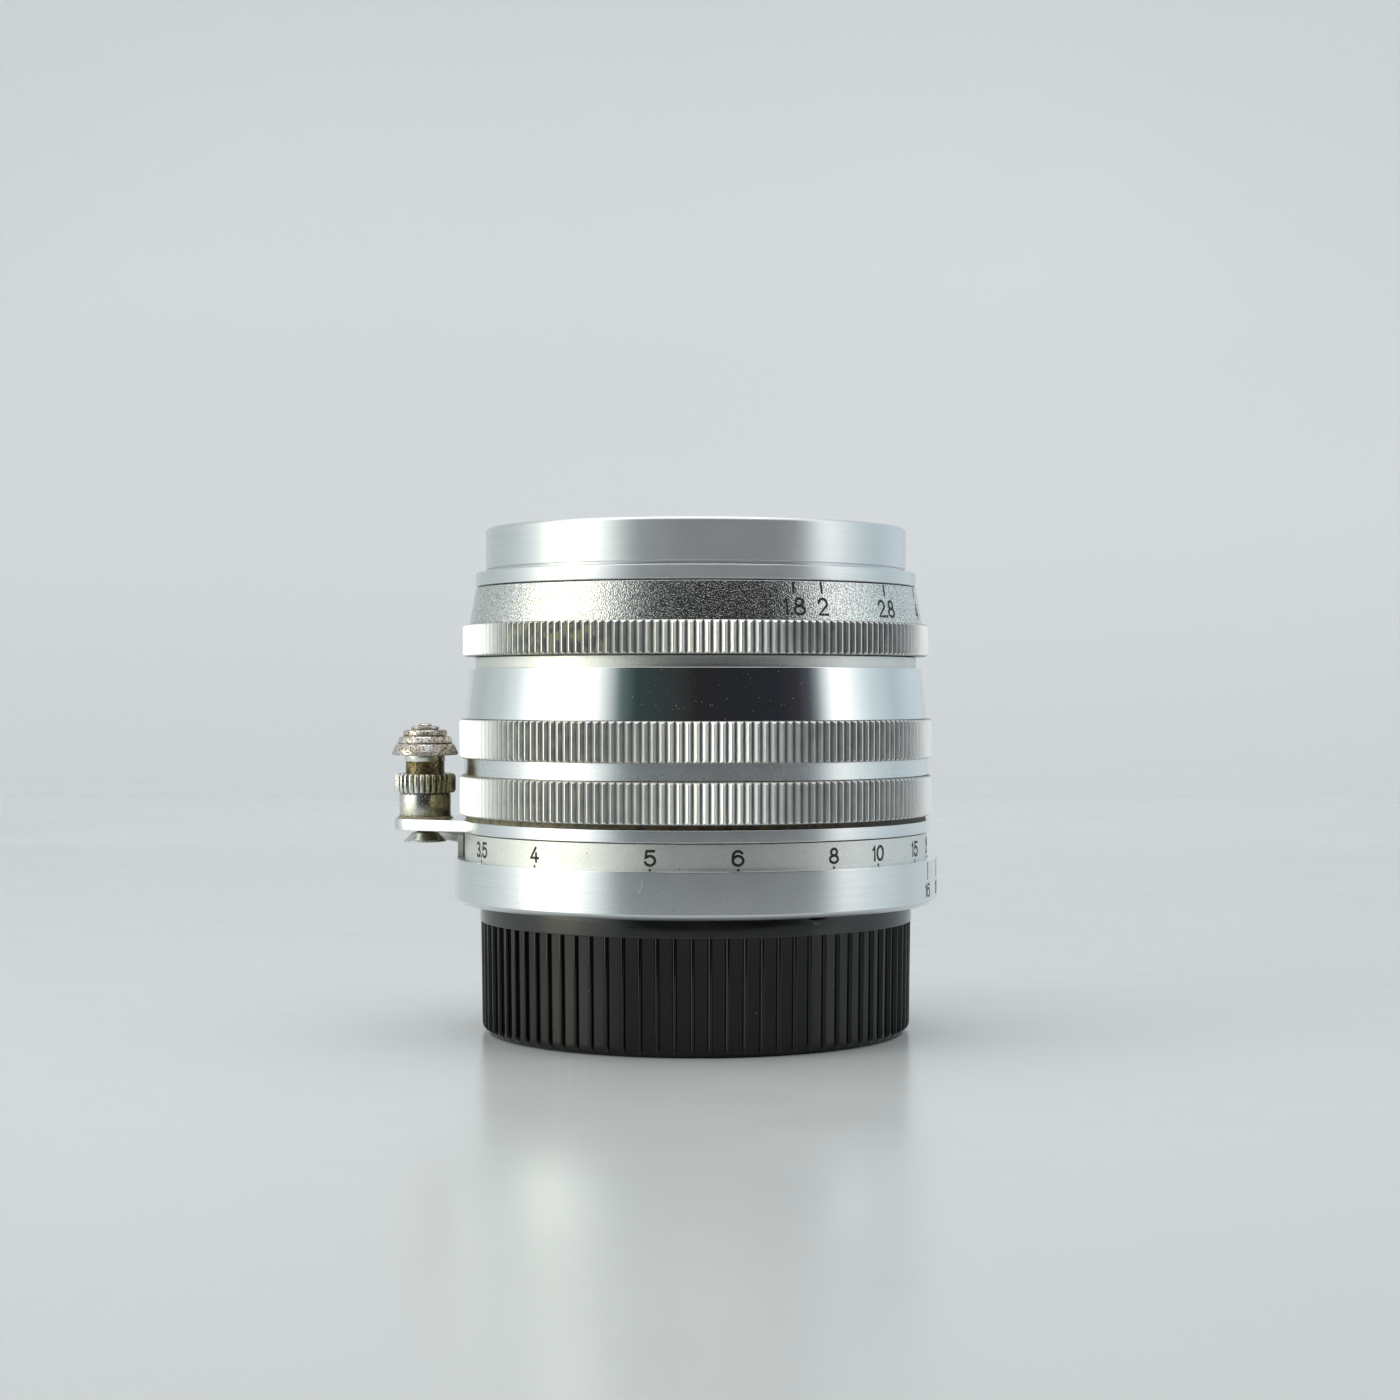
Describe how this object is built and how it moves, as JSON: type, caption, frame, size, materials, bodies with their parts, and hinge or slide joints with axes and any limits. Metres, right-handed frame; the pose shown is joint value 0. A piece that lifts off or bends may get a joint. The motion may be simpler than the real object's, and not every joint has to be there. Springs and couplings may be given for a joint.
{
  "type": "screw-mount camera lens",
  "caption": "Chrome screw-mount lens on its ribbed rear cap, with knurled focusing ring, sprung infinity lock and aperture ring.",
  "frame": {"origin": "on the optical axis at the bottom face of the rear cap", "axes": "+Z along the optical axis towards the subject, -X through the infinity lock tab, -Y towards the scales' front"},
  "size_m": [0.0546, 0.0482, 0.05],
  "materials": {
    "black_plastic": "satin gloss",
    "polished_chrome": "polished",
    "satin_chrome": "fine satin",
    "worn_nickel": "worn nickel plating on brass",
    "brass": "machined",
    "steel": "machined",
    "aluminium": "machined",
    "black_metal": "matt black",
    "blade_steel": "blued",
    "coated_glass": "single coated"
  },
  "bodies": {
    "cap": {"rear_cap": "black_plastic"},
    "mount": {"depth_scale_ring": "polished_chrome", "lens_base": "brass", "infinity_catch": "polished_chrome", "base_screw_1": "steel", "base_screw_2": "steel", "base_screw_3": "steel", "guide_key": "steel", "guide_key_screw": "steel", "focus_stop_pin_near": "steel", "focus_stop_pin_infinity": "steel", "retaining_ring": "brass"},
    "focus_ring": {"focus_grip": "polished_chrome", "lever_ring": "polished_chrome", "distance_scale_ring": "satin_chrome", "helicoid_nut": "brass", "lock_barrel": "worn_nickel", "lock_collar": "worn_nickel", "lock_spring": "steel", "grip_screw_1": "steel", "grip_screw_2": "steel", "grip_screw_3": "steel", "scale_screw_1": "steel", "scale_screw_2": "steel", "scale_screw_3": "steel"},
    "lock_button": {"lock_dome": "worn_nickel", "lock_stem": "brass", "lock_foot": "worn_nickel"},
    "lens_head": {"head_barrel": "polished_chrome", "index_ring": "polished_chrome", "front_rim": "polished_chrome", "name_ring": "black_metal", "front_cell": "aluminium", "rear_cell": "aluminium", "front_element": "coated_glass", "front_pair_upper": "coated_glass", "front_pair_lower": "coated_glass", "rear_pair_upper": "coated_glass", "rear_pair_lower": "coated_glass", "rear_element": "coated_glass", "front_retainer": "black_metal", "front_pair_retainer": "black_metal", "rear_pair_retainer": "black_metal", "rear_retainer": "black_metal", "iris_housing": "black_metal", "rangefinder_cam": "brass"},
    "aperture": {"aperture_ring": "satin_chrome", "iris_driver": "brass", "driver_screw": "steel"},
    "blade_01": {"iris_blade_01": "blade_steel"},
    "blade_02": {"iris_blade_02": "blade_steel"},
    "blade_03": {"iris_blade_03": "blade_steel"},
    "blade_04": {"iris_blade_04": "blade_steel"},
    "blade_05": {"iris_blade_05": "blade_steel"},
    "blade_06": {"iris_blade_06": "blade_steel"},
    "blade_07": {"iris_blade_07": "blade_steel"},
    "blade_08": {"iris_blade_08": "blade_steel"},
    "blade_09": {"iris_blade_09": "blade_steel"},
    "blade_10": {"iris_blade_10": "blade_steel"}
  },
  "joints": [
    {"name": "cap_unscrew", "type": "slide", "parent": "cap", "child": "mount", "axis": [0, 0, 1], "range_m": [0, 0.025]},
    {"name": "focus", "type": "hinge", "parent": "mount", "child": "focus_ring", "pos_m": [0, 0, 0.0262], "axis": [0, 0, 1], "range_deg": [0, 165.6]},
    {"name": "helicoid", "type": "slide", "parent": "mount", "child": "lens_head", "axis": [0, 0, 1], "range_m": [0, 0.00277]},
    {"name": "lock_press", "type": "slide", "parent": "focus_ring", "child": "lock_button", "axis": [0, 0, -1], "range_m": [0, 0.0012], "stiffness_N_per_m": 150, "springref_m": -0.003, "deforming": ["lock_spring"]},
    {"name": "aperture_turn", "type": "hinge", "parent": "lens_head", "child": "aperture", "pos_m": [0, 0, 0.039], "axis": [0, 0, 1], "range_deg": [-53.7, 78.2]},
    {"name": "blade_01_pivot", "type": "hinge", "parent": "lens_head", "child": "blade_01", "pos_m": [0, -0.016, 0.0283], "axis": [0, 0, 1], "range_deg": [-20.1, 13.8]},
    {"name": "blade_02_pivot", "type": "hinge", "parent": "lens_head", "child": "blade_02", "pos_m": [0.0094, -0.01294, 0.02844], "axis": [0, 0, 1], "range_deg": [-20.1, 13.8]},
    {"name": "blade_03_pivot", "type": "hinge", "parent": "lens_head", "child": "blade_03", "pos_m": [0.01522, -0.00494, 0.02858], "axis": [0, 0, 1], "range_deg": [-20.1, 13.8]},
    {"name": "blade_04_pivot", "type": "hinge", "parent": "lens_head", "child": "blade_04", "pos_m": [0.01522, 0.00494, 0.02872], "axis": [0, 0, 1], "range_deg": [-20.1, 13.8]},
    {"name": "blade_05_pivot", "type": "hinge", "parent": "lens_head", "child": "blade_05", "pos_m": [0.0094, 0.01294, 0.02886], "axis": [0, 0, 1], "range_deg": [-20.1, 13.8]},
    {"name": "blade_06_pivot", "type": "hinge", "parent": "lens_head", "child": "blade_06", "pos_m": [0, 0.016, 0.029], "axis": [0, 0, 1], "range_deg": [-20.1, 13.8]},
    {"name": "blade_07_pivot", "type": "hinge", "parent": "lens_head", "child": "blade_07", "pos_m": [-0.0094, 0.01294, 0.02914], "axis": [0, 0, 1], "range_deg": [-20.1, 13.8]},
    {"name": "blade_08_pivot", "type": "hinge", "parent": "lens_head", "child": "blade_08", "pos_m": [-0.01522, 0.00494, 0.02928], "axis": [0, 0, 1], "range_deg": [-20.1, 13.8]},
    {"name": "blade_09_pivot", "type": "hinge", "parent": "lens_head", "child": "blade_09", "pos_m": [-0.01522, -0.00494, 0.02942], "axis": [0, 0, 1], "range_deg": [-20.1, 13.8]},
    {"name": "blade_10_pivot", "type": "hinge", "parent": "lens_head", "child": "blade_10", "pos_m": [-0.0094, -0.01294, 0.02956], "axis": [0, 0, 1], "range_deg": [-20.1, 13.8]}
  ],
  "couplings": [
    {"joint": "helicoid", "follows": "focus", "m_per_rad": 0.00095493},
    {"joint": "blade_01_pivot", "follows": "aperture_turn", "ratio": -0.25671},
    {"joint": "blade_02_pivot", "follows": "aperture_turn", "ratio": -0.25671},
    {"joint": "blade_03_pivot", "follows": "aperture_turn", "ratio": -0.25671},
    {"joint": "blade_04_pivot", "follows": "aperture_turn", "ratio": -0.25671},
    {"joint": "blade_05_pivot", "follows": "aperture_turn", "ratio": -0.25671},
    {"joint": "blade_06_pivot", "follows": "aperture_turn", "ratio": -0.25671},
    {"joint": "blade_07_pivot", "follows": "aperture_turn", "ratio": -0.25671},
    {"joint": "blade_08_pivot", "follows": "aperture_turn", "ratio": -0.25671},
    {"joint": "blade_09_pivot", "follows": "aperture_turn", "ratio": -0.25671},
    {"joint": "blade_10_pivot", "follows": "aperture_turn", "ratio": -0.25671}
  ]
}
